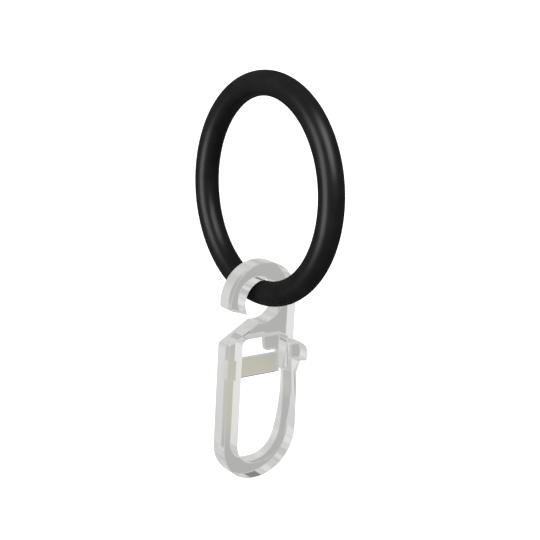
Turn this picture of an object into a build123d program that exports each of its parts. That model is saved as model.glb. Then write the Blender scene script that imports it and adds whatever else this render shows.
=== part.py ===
import os
from math import asin, cos, degrees, radians, sin, tan

from build123d import *

# Curtain ring: a round wire ring that rides on a pole, with a clear pleat hook snapped onto it.
# Millimetres. The origin is the ring's centre and +Z is up. The pole runs along Y.
# The hook is a flat moulding in the YZ plane, and its thickness runs along X.

# Ring
ring_inner_diameter = 29.0
wire_diameter = 4.0

# Hook stock, front to back, and the small bevel on its rims
plate_thickness = 3.2
web_thickness = 0.9
rim_bevel = 0.1

# Snap eye that holds the hook on the wire
eye_play = 3.2
eye_wall = 2.8
hang_gap = 0.25
snap_bite = 1.2
mouth_direction = 234.5
tip_slant = 17.0
ramp_slant = 30.0
tip_round = 0.7
ramp_round = 1.0

# Heading below the eye, and the loop that takes the curtain's heading tape
heading_drop = 6.0
heading_round = 1.0
leg_width = 2.7
loop_drop = 30.35
leg_bend_radius = 6.3
foot_flat = 0.6
arm_bow = 1.5
arm_inner_radius = 4.65
arm_inner_shift = 0.45
arm_inner_sweep = 74.0

# Sprung arm, from its bend up to its neck
neck_drop = 13.35
neck_width = 1.05
neck_lean = 0.45

# Column on the sprung side of the heading, stepped in to a post that thickens towards its end
column_width = 1.25
column_round = 0.8
column_drop = 1.75
post_step = 0.75
post_drop = 6.4
post_taper = 0.4
post_round = 0.2

# Arm's head, which closes against the post, with its thumb tab
latch_gap = 0.3
head_width = 2.25
tab_reach = 1.25
tab_height = 3.4
tab_crown = 0.74
tab_underside_rise = 0.25
tab_overhang = 1.3
tab_round = 0.3

# Thin webs flush with the hook's back: the tape bar across the loop and the tongue above it
bar_drop = 4.0
bar_height = 3.3
tongue_width = 3.2
tongue_taper = 0.55
tongue_drop = 3.3
tongue_round = 0.5

# Places on the ring
ring_inner_radius = ring_inner_diameter / 2
wire_radius = wire_diameter / 2
ring_radius = ring_inner_radius + wire_radius

# Places on the eye, as (Y, Z) from here on
eye_bore_radius = (wire_diameter + eye_play) / 2
half_width = eye_bore_radius + eye_wall
eye_z = -ring_inner_radius + hang_gap - eye_bore_radius
mouth_half_angle = degrees(asin((wire_diameter - snap_bite) / 2 / eye_bore_radius))


def along(start, angle, length):
    """Point at a length from a start, in a direction given by its angle from +Y."""
    turn = radians(angle)
    return (start[0] + length * cos(turn), start[1] + length * sin(turn))


eye = (0, eye_z)
tip_inner = along(eye, mouth_direction - mouth_half_angle, eye_bore_radius)
lip = along(eye, mouth_direction + mouth_half_angle, eye_bore_radius)
tip_outer = (-half_width, tip_inner[1] + (half_width + tip_inner[0]) * tan(radians(tip_slant)))
ramp_foot = (-half_width, lip[1] - (half_width + lip[0]) * tan(radians(ramp_slant)))

# Places on the loop
heading_z = eye_z - heading_drop
loop_z = eye_z - loop_drop
leg_inner = leg_width - half_width
leg_bend = (leg_bend_radius - half_width, loop_z + leg_bend_radius)
arm_outer = half_width + arm_bow
arm_bend_radius = arm_outer - leg_bend[0] - foot_flat
arm_bend = (arm_outer - arm_bend_radius, loop_z + arm_bend_radius)
foot_z = loop_z + leg_width
arm_inner_bend = (arm_bend[0] + arm_inner_shift, foot_z + arm_inner_radius)
neck_z = eye_z - neck_drop
neck_outer = (arm_outer - neck_lean, neck_z)
neck_inner = (neck_outer[0] - neck_width, neck_z)

# Places on the column and the arm's head
column_inner = half_width - column_width
column_step_z = heading_z - column_drop
post_outer = half_width - post_step
post_toe = (column_inner - post_taper, heading_z - post_drop)
head_inner = (post_outer + latch_gap, column_step_z - latch_gap)
head_outer = (head_inner[0] + head_width, head_inner[1])
tab_tip = (head_outer[0] + tab_reach, head_outer[1] - tab_height)
tab_root = (tab_tip[0] - tab_overhang, tab_tip[1] + tab_underside_rise)

# Places on the webs
bar_top = heading_z - bar_drop
bar_bottom = bar_top - bar_height
tongue_top = column_inner - tongue_width
tongue_toe = (tongue_top + tongue_taper, heading_z - tongue_drop)


def corner(sketch, place):
    """Corner of a sketch that lies nearest to a place."""
    return sketch.vertices().sort_by_distance(place)[0]


os.makedirs("parts", exist_ok=True)

# Ring: the wire's round section turned about the pole's axis
with BuildPart() as ring:
    with BuildSketch(Plane.XY):
        with Locations((ring_radius, 0)):
            Circle(wire_radius)
    revolve(axis=Axis.Y)

ring.part.label = "ring"
export_step(ring.part, "parts/ring.step")

# Pleat hook: one clear moulding
with BuildPart() as pleat_hook:
    with BuildSketch(Plane.YZ) as outline:
        # Arch of the eye, standing on the heading
        with BuildLine():
            Line((-half_width, heading_z), (half_width, heading_z))
            Line((half_width, heading_z), (half_width, eye_z))
            CenterArc(eye, half_width, 0, 180)
            Line((-half_width, eye_z), (-half_width, heading_z))
        make_face()

        # Rigid leg, foot bend and sprung arm, as one strip that narrows towards the neck
        with BuildLine():
            Line((-half_width, heading_z), (-half_width, leg_bend[1]))
            CenterArc(leg_bend, leg_bend_radius, 180, 90)
            Line((leg_bend[0], loop_z), (arm_bend[0], loop_z))
            CenterArc(arm_bend, arm_bend_radius, -90, 90)
            TangentArc((arm_outer, arm_bend[1]), neck_outer, tangent=(0, 1))
            Line(neck_outer, neck_inner)
            inner_bend = CenterArc(arm_inner_bend, arm_inner_radius, -90, arm_inner_sweep)
            TangentArc(inner_bend @ 1, neck_inner, tangent=inner_bend % 1)
            Line((arm_inner_bend[0], foot_z), (leg_bend[0], foot_z))
            CenterArc(leg_bend, leg_bend_radius - leg_width, 180, 90)
            Line((leg_inner, leg_bend[1]), (leg_inner, heading_z))
            Line((leg_inner, heading_z), (-half_width, heading_z))
        make_face()

        # Column and post
        with BuildLine():
            Polyline(
                (column_inner, heading_z),
                (half_width, heading_z),
                (half_width, column_step_z),
                (post_outer, column_step_z),
                (post_outer, post_toe[1]),
                post_toe,
                close=True,
            )
        make_face()

        # Arm's head, with the thumb tab standing out from it
        with BuildLine():
            Polyline(head_outer, head_inner, neck_inner, neck_outer, tab_root, tab_tip)
            SagittaArc(head_outer, tab_tip, tab_crown)
        make_face()

        # Bore for the wire, and the funnel mouth that lets the wire snap in
        with Locations(eye):
            Circle(eye_bore_radius, mode=Mode.SUBTRACT)
        with BuildLine():
            Polyline(
                eye,
                tip_inner,
                along(tip_inner, 180 - tip_slant, 2 * half_width),
                along(lip, 180 + ramp_slant, 2 * half_width),
                lip,
                close=True,
            )
        make_face(mode=Mode.SUBTRACT)

        # Moulded corners
        fillet(corner(outline, tip_outer), tip_round)
        fillet(corner(outline, ramp_foot), ramp_round)
        fillet(corner(outline, (leg_inner, heading_z)), heading_round)
        fillet(corner(outline, (column_inner, heading_z)), column_round)
        fillet(corner(outline, post_toe), post_round)
        fillet(corner(outline, tab_tip), tab_round)
        fillet(corner(outline, tab_root), tab_round)
    extrude(amount=plate_thickness / 2, both=True)

    with BuildSketch(Plane.YZ.offset(-plate_thickness / 2)) as webs:
        # Tape bar, from the leg's inner face to the post's outer face
        with BuildLine():
            Polyline(
                (leg_inner, bar_top),
                (post_outer, bar_top),
                (post_outer, bar_bottom),
                (leg_inner, bar_bottom),
                close=True,
            )
        make_face()

        # Tongue, hanging from the heading beside the column
        with BuildLine():
            Polyline(
                (post_outer, heading_z),
                (tongue_top, heading_z),
                tongue_toe,
                (post_outer, tongue_toe[1]),
                close=True,
            )
        make_face()
        fillet(corner(webs, tongue_toe), tongue_round)
    extrude(amount=web_thickness)

    # Rims of the back and front faces
    flats = pleat_hook.faces().filter_by(Axis.X).group_by(Axis.X)
    chamfer(flats[0].edges() + flats[-1].edges(), rim_bevel)

pleat_hook.part.label = "pleat_hook"
export_step(pleat_hook.part, "parts/pleat_hook.step")
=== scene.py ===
"""Finish and studio for a black wire curtain ring with a clear pleat hook."""

import math
from typing import NamedTuple

import bmesh
import bpy
from bpy.props import FloatProperty, FloatVectorProperty, PointerProperty
from mathutils import Matrix, Vector


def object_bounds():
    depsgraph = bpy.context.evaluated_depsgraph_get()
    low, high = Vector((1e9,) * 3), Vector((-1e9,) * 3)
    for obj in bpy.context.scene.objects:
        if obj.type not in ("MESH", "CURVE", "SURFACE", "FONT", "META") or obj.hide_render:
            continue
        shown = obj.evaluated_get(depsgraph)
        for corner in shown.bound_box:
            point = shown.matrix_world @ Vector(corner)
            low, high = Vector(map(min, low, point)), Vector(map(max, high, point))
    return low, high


bl_info = {
    "name": "Curtain Ring",
    "version": (1, 0, 0),
    "blender": (4, 5, 0),
    "location": "View3D > Sidebar > Curtain Ring",
    "description": "Finishes a wire curtain ring and its clear pleat hook, and sets them in a pale studio",
    "category": "Object",
}

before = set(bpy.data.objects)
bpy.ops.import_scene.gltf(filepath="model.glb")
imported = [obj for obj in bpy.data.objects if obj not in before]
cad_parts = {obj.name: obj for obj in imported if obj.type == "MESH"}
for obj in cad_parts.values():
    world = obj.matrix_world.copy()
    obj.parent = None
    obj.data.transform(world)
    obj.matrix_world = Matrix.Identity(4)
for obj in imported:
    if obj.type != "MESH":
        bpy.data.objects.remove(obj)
cad_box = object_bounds()
WHITE = (1.0, 1.0, 1.0)

# Stretch of space along X, Y and Z for the plastic's marks: below 1 makes a mark longer that way
FLOW_STRETCH = (1.0, 1.0, 0.4)
STREAK_STRETCH = (1.0, 1.0, 0.15)
LEG_WARM_STRETCH = (4.0, 1.0, 0.2)
BAR_WARM_STRETCH = (1.0, 0.3, 1.0)

# Strength of the warm tint between the leg's streaks and on the bar, next to 1 in a streak
FAINT_STREAK = 0.3
BAR_WARMTH = 0.6

# Colour sockets of the Mix node, by number because their names repeat on it
MIX_FACTOR, MIX_PLAIN, MIX_TINT, MIX_RESULT = 0, 6, 7, 2

# The clear hook needs many bounces, because light is mirrored on inside its walls
LIGHT_BOUNCES = 24

SWEEP_ROUGHNESS = 0.9
CAMERA_CLIP_START = 0.01

# Directions from the ring to the softboxes, the side one along the camera's right, up and back
SIDE_SOFTBOX_AIM = (-1.0, -0.10, 0.68)
FRONT_SOFTBOX_AIM = (0.70, -0.09, 0.71)


class RoomPlace(NamedTuple):
    """Place in the room: its direction from the object, and the angles where it ends and is full"""

    toward: tuple
    end: float
    full: float


BEHIND = RoomPlace((-0.75, 0.58, -0.32), math.radians(28.4), math.radians(14.2))
BEHIND_LEFT = RoomPlace((-0.75, -0.57, -0.33), math.radians(36.7), math.radians(17.9))
BESIDE_RIGHT = RoomPlace((0.14, 0.88, -0.45), math.radians(24.8), math.radians(9.4))
BEHIND_ABOVE = RoomPlace((-0.69, 0.56, 0.47), math.radians(11.5), math.radians(7.8))
BEHIND_LOOP = RoomPlace((-0.760, 0.549, -0.347), math.radians(3.1), math.radians(0.3))


class RingCoatSettings(bpy.types.PropertyGroup):
    """Satin black coat on the wire ring"""

    color: FloatVectorProperty(
        name="Coat Color",
        description="Colour of the coat where it is thickest",
        subtype="COLOR",
        min=0.0,
        max=1.0,
        default=(0.0012, 0.0012, 0.0013),
    )
    thin_color: FloatVectorProperty(
        name="Thin Coat Color",
        description="Colour of the coat where it is a little thinner",
        subtype="COLOR",
        min=0.0,
        max=1.0,
        default=(0.0022, 0.0021, 0.0021),
    )
    roughness: FloatProperty(
        name="Roughness",
        description="Middle roughness of the satin coat",
        subtype="FACTOR",
        min=0.0,
        max=1.0,
        default=0.34,
    )
    roughness_spread: FloatProperty(
        name="Roughness Spread",
        description="How far the coat's roughness strays from its middle",
        subtype="FACTOR",
        min=0.0,
        max=0.2,
        default=0.03,
    )
    gloss: FloatProperty(
        name="Gloss",
        description="Share of the light that the satin surface mirrors, next to a full gloss coat",
        subtype="FACTOR",
        min=0.0,
        max=1.0,
        default=0.10,
    )
    cloud_size: FloatProperty(
        name="Cloud Size",
        description="Size of the soft changes of tone in the coat",
        unit="LENGTH",
        default=0.003,
    )
    grain_size: FloatProperty(
        name="Grain Size",
        description="Size of the fine orange peel in the coat",
        unit="LENGTH",
        default=0.0004,
    )
    grain_depth: FloatProperty(
        name="Grain Depth",
        description="Depth of the fine orange peel in the coat",
        unit="LENGTH",
        default=0.000002,
    )


class HookPlasticSettings(bpy.types.PropertyGroup):
    """Clear moulded plastic of the pleat hook"""

    color: FloatVectorProperty(
        name="Plastic Color",
        description="Share of the light that passes through the clear plastic",
        subtype="COLOR",
        min=0.0,
        max=1.0,
        default=(0.98, 0.98, 0.97),
    )
    warm_color: FloatVectorProperty(
        name="Warm Color",
        description="Share of the light that passes in the yellower of the warm streaks",
        subtype="COLOR",
        min=0.0,
        max=1.0,
        default=(0.98, 0.97, 0.74),
    )
    blush_color: FloatVectorProperty(
        name="Blush Color",
        description="Share of the light that passes in the rosier of the warm streaks",
        subtype="COLOR",
        min=0.0,
        max=1.0,
        default=(1.0, 0.92, 0.80),
    )
    warm_reach: FloatProperty(
        name="Warm Reach",
        description="Distance at which the warm tint has gone, before its stretch along the leg and the bar",
        unit="LENGTH",
        default=0.0019,
    )
    leg_warm_place: FloatVectorProperty(
        name="Leg Warm Place",
        description="Middle of the warm streaks on the leg's front, from the ring's centre",
        subtype="TRANSLATION",
        default=(0.0016, -0.0058, -0.0325),
    )
    bar_warm_place: FloatVectorProperty(
        name="Bar Warm Place",
        description="Middle of the warm tint on the tape bar, from the ring's centre",
        subtype="TRANSLATION",
        default=(-0.0012, 0.0, -0.0295),
    )
    streak_size: FloatProperty(
        name="Streak Size",
        description="Width of the warm streaks on the leg",
        unit="LENGTH",
        default=0.0015,
    )
    ior: FloatProperty(
        name="IOR",
        description="Index of refraction of the plastic",
        min=1.0,
        max=2.0,
        default=1.25,
    )
    roughness: FloatProperty(
        name="Roughness",
        description="Highest roughness of the polished surface",
        subtype="FACTOR",
        min=0.0,
        max=1.0,
        default=0.06,
    )
    flow_size: FloatProperty(
        name="Flow Size",
        description="Size of the soft flow marks in the moulding",
        unit="LENGTH",
        default=0.006,
    )
    flow_depth: FloatProperty(
        name="Flow Depth",
        description="Depth of the soft flow marks in the moulding",
        unit="LENGTH",
        default=0.000004,
    )


class StudioSettings(bpy.types.PropertyGroup):
    """Pale sweep, room, soft lights and camera"""

    floor_drop: FloatProperty(
        name="Floor Drop",
        description="Height of the hook's foot above the floor",
        unit="LENGTH",
        default=0.25,
    )
    floor_radius: FloatProperty(
        name="Floor Radius",
        description="Radius of the flat floor inside the round sweep",
        unit="LENGTH",
        default=0.40,
    )
    sweep_radius: FloatProperty(
        name="Sweep Radius",
        description="Radius of the bend from the floor up to the wall",
        unit="LENGTH",
        default=0.40,
    )
    sweep_height: FloatProperty(
        name="Sweep Height",
        description="Height of the straight wall above the bend",
        unit="LENGTH",
        default=1.20,
    )
    sweep_color: FloatVectorProperty(
        name="Sweep Color",
        description="Colour of the floor and the wall",
        subtype="COLOR",
        min=0.0,
        max=1.0,
        default=(0.8, 0.8, 0.8),
    )
    sweep_glow: FloatProperty(
        name="Sweep Glow",
        description="Light that comes through the floor and the wall",
        min=0.0,
        default=1.0,
    )
    room_glow: FloatProperty(
        name="Room Glow",
        description="Brightness of the room that the clear plastic shows",
        min=0.0,
        default=0.64,
    )
    far_glow: FloatProperty(
        name="Far Glow",
        description="Brightness of the room straight behind the object",
        min=0.0,
        default=0.52,
    )
    left_glow: FloatProperty(
        name="Left Glow",
        description="Brightness of the room behind the object on the left",
        min=0.0,
        default=0.68,
    )
    right_glow: FloatProperty(
        name="Right Glow",
        description="Brightness of the room beside the object on the right",
        min=0.0,
        default=0.56,
    )
    high_glow: FloatProperty(
        name="High Glow",
        description="Brightness of the room behind the object and a little above it",
        min=0.0,
        default=0.22,
    )
    warm_glow: FloatProperty(
        name="Warm Glow",
        description="Brightness of the small warm light behind the hook's loop",
        min=0.0,
        default=0.64,
    )
    warm_tint: FloatVectorProperty(
        name="Warm Tint",
        description="Colour of the small warm light behind the hook's loop",
        subtype="COLOR",
        min=0.0,
        max=1.0,
        default=(0.99, 0.99, 0.90),
    )
    patch_size: FloatProperty(
        name="Patch Size",
        description="Width of the soft patches of light in the room, as an angle seen from the object",
        subtype="ANGLE",
        default=0.22,
    )
    patch_depth: FloatProperty(
        name="Patch Depth",
        description="How far the patches stray from the room's brightness",
        subtype="FACTOR",
        min=0.0,
        max=1.0,
        default=0.15,
    )
    patch_shift: FloatVectorProperty(
        name="Patch Shift",
        description="Move of the patches over the room",
        subtype="XYZ",
        default=(8.5, 0.0, 0.0),
    )
    softbox_distance: FloatProperty(
        name="Softbox Distance",
        description="Distance of both softboxes from the ring's centre",
        unit="LENGTH",
        default=0.45,
    )
    side_size: FloatVectorProperty(
        name="Side Softbox Size",
        description="Width and height of the tall softbox on the camera's left",
        unit="LENGTH",
        size=2,
        default=(0.28, 0.50),
    )
    side_light: FloatProperty(
        name="Side Light",
        description="Brightness of the tall softbox on the camera's left",
        min=0.0,
        default=27.0,
    )
    front_size: FloatVectorProperty(
        name="Front Softbox Size",
        description="Width and height of the softbox above and beside the camera",
        unit="LENGTH",
        size=2,
        default=(0.28, 0.36),
    )
    front_light: FloatProperty(
        name="Front Light",
        description="Brightness of the softbox above and beside the camera",
        min=0.0,
        default=36.0,
    )
    camera_location: FloatVectorProperty(
        name="Camera Location",
        description="Place of the camera, from the ring's centre",
        subtype="TRANSLATION",
        default=(0.14065, -0.10373, 0.03115),
    )
    camera_azimuth: FloatProperty(
        name="Camera Azimuth",
        description="Turn of the camera round the upright axis",
        subtype="ANGLE",
        default=math.radians(53.08),
    )
    camera_elevation: FloatProperty(
        name="Camera Elevation",
        description="Angle at which the camera looks down",
        subtype="ANGLE",
        default=math.radians(14.16),
    )
    camera_roll: FloatProperty(
        name="Camera Roll",
        description="Turn of the camera about its own line of sight",
        subtype="ANGLE",
        default=math.radians(3.30),
    )
    camera_lens: FloatProperty(
        name="Camera Lens",
        description="Focal length of the camera, in millimetres on a sensor 36 mm wide",
        subtype="DISTANCE_CAMERA",
        default=75.4,
    )


class NodeSketch:
    """An empty node tree, with short calls that add its nodes and link them"""

    def __init__(self, owner):
        owner.use_nodes = True
        self.nodes = owner.node_tree.nodes
        self.links = owner.node_tree.links
        self.nodes.clear()

    def add(self, kind, inputs, **settings):
        """New node, with each input set to a value or linked to a socket"""
        node = self.nodes.new(kind)
        for key, value in settings.items():
            setattr(node, key, value)
        for key, value in inputs.items():
            if isinstance(value, bpy.types.NodeSocket):
                self.links.new(value, node.inputs[key])
            else:
                node.inputs[key].default_value = value
        return node

    def place(self, stretch=(1.0, 1.0, 1.0)):
        """Place on the object, in metres, stretched along its axes"""
        coordinates = self.add("ShaderNodeTexCoord", {})
        mapping = self.add(
            "ShaderNodeMapping",
            {"Vector": coordinates.outputs["Object"], "Scale": stretch},
        )
        return mapping.outputs["Vector"]

    def noise(self, place, size, detail=1.0):
        """Noise whose patches are about as large as size, from 0 to 1"""
        node = self.add(
            "ShaderNodeTexNoise",
            {"Vector": place, "Scale": 1.0 / size, "Detail": detail},
        )
        return node.outputs["Fac"]

    def tone(self, factor, low, high, start=0.3, full=0.7):
        """Colour that goes from low to high while a factor goes from start to full"""
        ramp = self.add("ShaderNodeValToRGB", {"Fac": factor})
        stops = ramp.color_ramp.elements
        stops[0].position, stops[1].position = start, full
        stops[0].color, stops[1].color = (*low, 1.0), (*high, 1.0)
        return ramp.outputs["Color"]

    def blend(self, factor, plain, tint):
        """Colour that goes from a plain one to a tint with a factor"""
        node = self.add(
            "ShaderNodeMix",
            {MIX_FACTOR: factor, MIX_PLAIN: (*plain, 1.0), MIX_TINT: tint},
            data_type="RGBA",
        )
        return node.outputs[MIX_RESULT]

    def between(self, factor, low, high):
        """Number that goes from low to high with a factor"""
        node = self.add("ShaderNodeMapRange", {"Value": factor, "To Min": low, "To Max": high})
        return node.outputs["Result"]

    def ramp(self, value, start, full, low=0.0, high=1.0):
        """Number that eases from low to high while a value goes from start to full"""
        node = self.add(
            "ShaderNodeMapRange",
            {"Value": value, "From Min": start, "From Max": full, "To Min": low, "To Max": high},
            interpolation_type="SMOOTHSTEP",
        )
        return node.outputs["Result"]

    def math(self, operation, first, second):
        """Result of a sum on two numbers"""
        return self.add("ShaderNodeMath", {0: first, 1: second}, operation=operation).outputs["Value"]

    def near(self, centre, stretch, reach):
        """1 within half a reach of a centre, easing to 0 at the reach, in space stretched along its axes"""
        stretched = [place * factor for place, factor in zip(centre, stretch)]
        distance = self.add(
            "ShaderNodeVectorMath",
            {0: self.place(stretch), 1: stretched},
            operation="DISTANCE",
        )
        return self.ramp(distance.outputs["Value"], start=reach, full=reach / 2)

    def facing(self, heading, place):
        """1 where a heading points at a place in the room, easing to 0 at the place's end"""
        share = self.add(
            "ShaderNodeVectorMath",
            {0: heading, 1: Vector(place.toward).normalized()},
            operation="DOT_PRODUCT",
        )
        return self.ramp(share.outputs["Value"], start=math.cos(place.end), full=math.cos(place.full))

    def bump(self, height, depth):
        """Surface normal, rippled by a height of that depth"""
        node = self.add("ShaderNodeBump", {"Height": height, "Distance": depth, "Strength": 1.0})
        return node.outputs["Normal"]

    def surface(self, inputs):
        """Principled shader on the material's output"""
        shader = self.add("ShaderNodeBsdfPrincipled", inputs)
        self.add("ShaderNodeOutputMaterial", {"Surface": shader.outputs["BSDF"]})


def ring_coat_material(coat):
    """Satin black coat, with fine orange peel and soft changes of tone"""
    material = bpy.data.materials.new("satin_black_coat")
    sketch = NodeSketch(material)
    place = sketch.place()
    cloud = sketch.noise(place, coat.cloud_size, detail=3.0)
    grain = sketch.noise(place, coat.grain_size, detail=2.0)
    low = coat.roughness - coat.roughness_spread
    high = coat.roughness + coat.roughness_spread
    peel = sketch.bump(grain, coat.grain_depth)
    sketch.surface(
        {
            "Base Color": sketch.tone(cloud, coat.color, coat.thin_color),
            "Roughness": sketch.between(grain, low, high),
            "Specular IOR Level": 0.0,
            "Normal": peel,
            "Coat Weight": coat.gloss,
            "Coat Roughness": coat.roughness,
            "Coat Normal": peel,
        }
    )
    return material


def hook_plastic_material(plastic):
    """Clear polished plastic, with faint flow marks, and warm streaks on the leg and the bar"""
    material = bpy.data.materials.new("clear_moulded_plastic")
    sketch = NodeSketch(material)
    flow = sketch.noise(sketch.place(FLOW_STRETCH), plastic.flow_size)
    grain = sketch.noise(sketch.place(STREAK_STRETCH), plastic.streak_size)
    hue = sketch.noise(sketch.place(FLOW_STRETCH), plastic.streak_size)
    streak = sketch.ramp(grain, start=0.35, full=0.6, low=FAINT_STREAK)
    leg = sketch.near(plastic.leg_warm_place, LEG_WARM_STRETCH, plastic.warm_reach)
    bar = sketch.near(plastic.bar_warm_place, BAR_WARM_STRETCH, plastic.warm_reach)
    leg_warmth = sketch.math("MULTIPLY", leg, streak)
    bar_warmth = sketch.math("MULTIPLY", bar, BAR_WARMTH)
    warmth = sketch.math("MAXIMUM", leg_warmth, bar_warmth)
    warm = sketch.tone(hue, plastic.warm_color, plastic.blush_color)
    sketch.surface(
        {
            "Base Color": sketch.blend(warmth, plastic.color, warm),
            "Roughness": sketch.between(flow, 0.0, plastic.roughness),
            "IOR": plastic.ior,
            "Transmission Weight": 1.0,
            "Normal": sketch.bump(flow, plastic.flow_depth),
        }
    )
    return material


def sweep_material(studio):
    """Pale sheet with light behind it"""
    material = bpy.data.materials.new("pale_sweep")
    NodeSketch(material).surface(
        {
            "Base Color": (*studio.sweep_color, 1.0),
            "Roughness": SWEEP_ROUGHNESS,
            "Specular IOR Level": 0.0,
            "Emission Color": (*WHITE, 1.0),
            "Emission Strength": studio.sweep_glow,
        }
    )
    return material


def room_world(studio):
    """Soft grey room with patches of light, dimmer behind the object but for a small warm light"""
    world = bpy.data.worlds.new("soft_room")
    sketch = NodeSketch(world)
    heading = sketch.add("ShaderNodeTexCoord", {}).outputs["Generated"]
    glow = studio.room_glow
    for place, level in (
        (BEHIND, studio.far_glow),
        (BEHIND_LEFT, studio.left_glow),
        (BESIDE_RIGHT, studio.right_glow),
        (BEHIND_ABOVE, studio.high_glow),
        (BEHIND_LOOP, studio.warm_glow),
    ):
        glow = sketch.between(sketch.facing(heading, place), glow, level)
    tint = sketch.blend(sketch.facing(heading, BEHIND_LOOP), WHITE, (*studio.warm_tint, 1.0))

    shifted = sketch.add("ShaderNodeMapping", {"Vector": heading, "Location": studio.patch_shift})
    noise = sketch.noise(shifted.outputs["Vector"], studio.patch_size)
    dim, bright = 1.0 - studio.patch_depth, 1.0 + studio.patch_depth
    patches = sketch.ramp(noise, start=0.35, full=0.65, low=dim, high=bright)
    strength = sketch.math("MULTIPLY", glow, patches)
    background = sketch.add("ShaderNodeBackground", {"Color": tint, "Strength": strength})
    sketch.add("ShaderNodeOutputWorld", {"Surface": background.outputs["Background"]})
    return world


def assign(piece, material):
    """Material on the whole of a piece, in place of what it had"""
    piece.data.materials.clear()
    piece.data.materials.append(material)


def link(piece):
    """New object in the scene's own collection"""
    bpy.context.scene.collection.objects.link(piece)
    return piece


def sweep_mesh(studio, floor_z, steps=96, bend_steps=24):
    """Round floor that bends up into a wall, as one smooth sheet about the upright axis"""
    profile = [(studio.floor_radius, floor_z)]
    bend_z = floor_z + studio.sweep_radius
    for i in range(1, bend_steps + 1):
        turn = math.pi / 2 * i / bend_steps
        profile.append(
            (
                studio.floor_radius + studio.sweep_radius * math.sin(turn),
                bend_z - studio.sweep_radius * math.cos(turn),
            )
        )
    profile.append((profile[-1][0], bend_z + studio.sweep_height))

    sheet = bmesh.new()
    rings = []
    for radius, z in profile:
        ring = []
        for i in range(steps):
            turn = 2 * math.pi * i / steps
            ring.append(sheet.verts.new((radius * math.cos(turn), radius * math.sin(turn), z)))
        rings.append(ring)
    sheet.faces.new(rings[0])
    for lower, upper in zip(rings, rings[1:]):
        for i in range(steps):
            j = (i + 1) % steps
            sheet.faces.new((lower[i], lower[j], upper[j], upper[i]))
    for face in sheet.faces:
        face.smooth = True
    mesh = bpy.data.meshes.new("sweep")
    sheet.to_mesh(mesh)
    sheet.free()
    return mesh


def softbox(name, aim, distance, size, brightness, lit):
    """Rectangular soft light that faces the ring from a direction and lights only a collection"""
    width, height = size
    light = bpy.data.lights.new(name, "AREA")
    light.shape = "RECTANGLE"
    light.size = width
    light.size_y = height
    light.energy = brightness * math.pi * width * height
    lamp = link(bpy.data.objects.new(name, light))
    lamp.location = aim.normalized() * distance
    lamp.rotation_mode = "QUATERNION"
    lamp.rotation_quaternion = aim.to_track_quat("Z", "Y")
    lamp.visible_camera = False
    lamp.light_linking.receiver_collection = lit
    return lamp


def camera_axes(studio):
    """Camera's right, up and back directions, as the columns of a matrix"""
    azimuth, elevation = studio.camera_azimuth, studio.camera_elevation
    level = math.cos(elevation)
    back = Vector((math.sin(azimuth) * level, -math.cos(azimuth) * level, math.sin(elevation)))
    flat_right = Vector((math.cos(azimuth), math.sin(azimuth), 0.0))
    flat_up = back.cross(flat_right)
    roll = Matrix.Rotation(studio.camera_roll, 3, back)
    return Matrix((roll @ flat_right, roll @ flat_up, back)).transposed()


class CURTAINRING_OT_finish_ring(bpy.types.Operator):
    """Give the wire ring its satin black coat"""

    bl_idname = "curtain_ring.finish_ring"
    bl_label = "Finish Ring"

    def execute(self, context):
        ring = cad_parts["ring"]
        assign(ring, ring_coat_material(context.scene.ring_coat))
        # The clear hook would show the ring behind it as black patches
        ring.visible_transmission = False
        return {"FINISHED"}


class CURTAINRING_OT_finish_hook(bpy.types.Operator):
    """Give the pleat hook its clear polished plastic"""

    bl_idname = "curtain_ring.finish_hook"
    bl_label = "Finish Hook"

    def execute(self, context):
        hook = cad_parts["pleat_hook"]
        assign(hook, hook_plastic_material(context.scene.hook_plastic))
        return {"FINISHED"}


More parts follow.
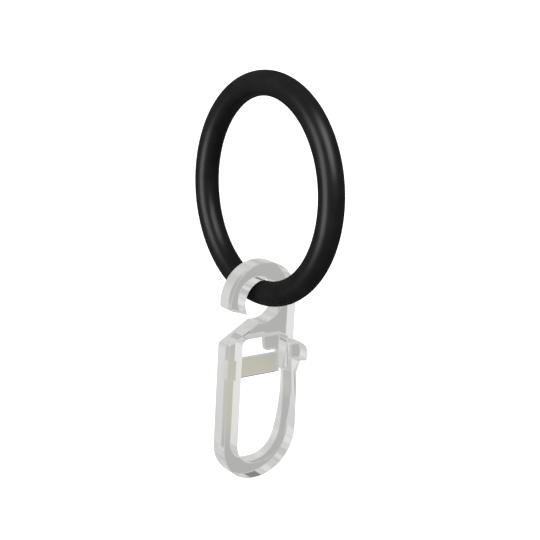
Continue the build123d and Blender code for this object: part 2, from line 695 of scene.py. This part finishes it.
class CURTAINRING_OT_build_stage(bpy.types.Operator):
    """Build the pale sweep, the room, the soft lights and the camera"""

    bl_idname = "curtain_ring.build_stage"
    bl_label = "Build Stage"

    def execute(self, context):
        studio = context.scene.curtain_studio
        axes = camera_axes(studio)

        view = bpy.data.cameras.new("camera")
        view.lens = studio.camera_lens
        view.clip_start = CAMERA_CLIP_START
        camera = link(bpy.data.objects.new("camera", view))
        camera.matrix_world = Matrix.Translation(studio.camera_location) @ axes.to_4x4()
        context.scene.camera = camera
        context.scene.view_settings.view_transform = "Standard"
        context.scene.cycles.max_bounces = LIGHT_BOUNCES
        context.scene.cycles.glossy_bounces = LIGHT_BOUNCES
        context.scene.cycles.transmission_bounces = LIGHT_BOUNCES

        # The sweep is the camera's ground only, and the object is lit by the room and the softboxes
        floor_z = cad_box[0].z - studio.floor_drop
        sweep = link(bpy.data.objects.new("sweep", sweep_mesh(studio, floor_z)))
        assign(sweep, sweep_material(studio))
        sweep.visible_glossy = False
        sweep.visible_transmission = False
        sweep.visible_diffuse = False
        sweep.visible_shadow = False

        lit = bpy.data.collections.new("softbox_lit")
        lit.objects.link(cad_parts["ring"])
        for name, aim, size, brightness in (
            ("side_softbox", axes @ Vector(SIDE_SOFTBOX_AIM), studio.side_size, studio.side_light),
            ("front_softbox", Vector(FRONT_SOFTBOX_AIM), studio.front_size, studio.front_light),
        ):
            softbox(name, aim, studio.softbox_distance, size, brightness, lit)
        context.scene.world = room_world(studio)
        return {"FINISHED"}


class CURTAINRING_PT_sidebar(bpy.types.Panel):
    """Settings of the ring, the hook and the studio"""

    bl_idname = "CURTAINRING_PT_sidebar"
    bl_label = "Curtain Ring"
    bl_space_type = "VIEW_3D"
    bl_region_type = "UI"
    bl_category = "Curtain Ring"

    def draw(self, context):
        sections = (
            (context.scene.ring_coat, CURTAINRING_OT_finish_ring),
            (context.scene.hook_plastic, CURTAINRING_OT_finish_hook),
            (context.scene.curtain_studio, CURTAINRING_OT_build_stage),
        )
        for settings, operator in sections:
            box = self.layout.box()
            for name in settings.__annotations__:
                box.prop(settings, name)
            box.operator(operator.bl_idname)


CLASSES = (
    RingCoatSettings,
    HookPlasticSettings,
    StudioSettings,
    CURTAINRING_OT_finish_ring,
    CURTAINRING_OT_finish_hook,
    CURTAINRING_OT_build_stage,
    CURTAINRING_PT_sidebar,
)


def register():
    for cls in CLASSES:
        bpy.utils.register_class(cls)
    bpy.types.Scene.ring_coat = PointerProperty(type=RingCoatSettings)
    bpy.types.Scene.hook_plastic = PointerProperty(type=HookPlasticSettings)
    bpy.types.Scene.curtain_studio = PointerProperty(type=StudioSettings)


def unregister():
    del bpy.types.Scene.curtain_studio
    del bpy.types.Scene.hook_plastic
    del bpy.types.Scene.ring_coat
    for cls in reversed(CLASSES):
        bpy.utils.unregister_class(cls)


def main():
    register()
    bpy.ops.curtain_ring.finish_ring()
    bpy.ops.curtain_ring.finish_hook()
    bpy.ops.curtain_ring.build_stage()


if __name__ == "__main__":
    main()
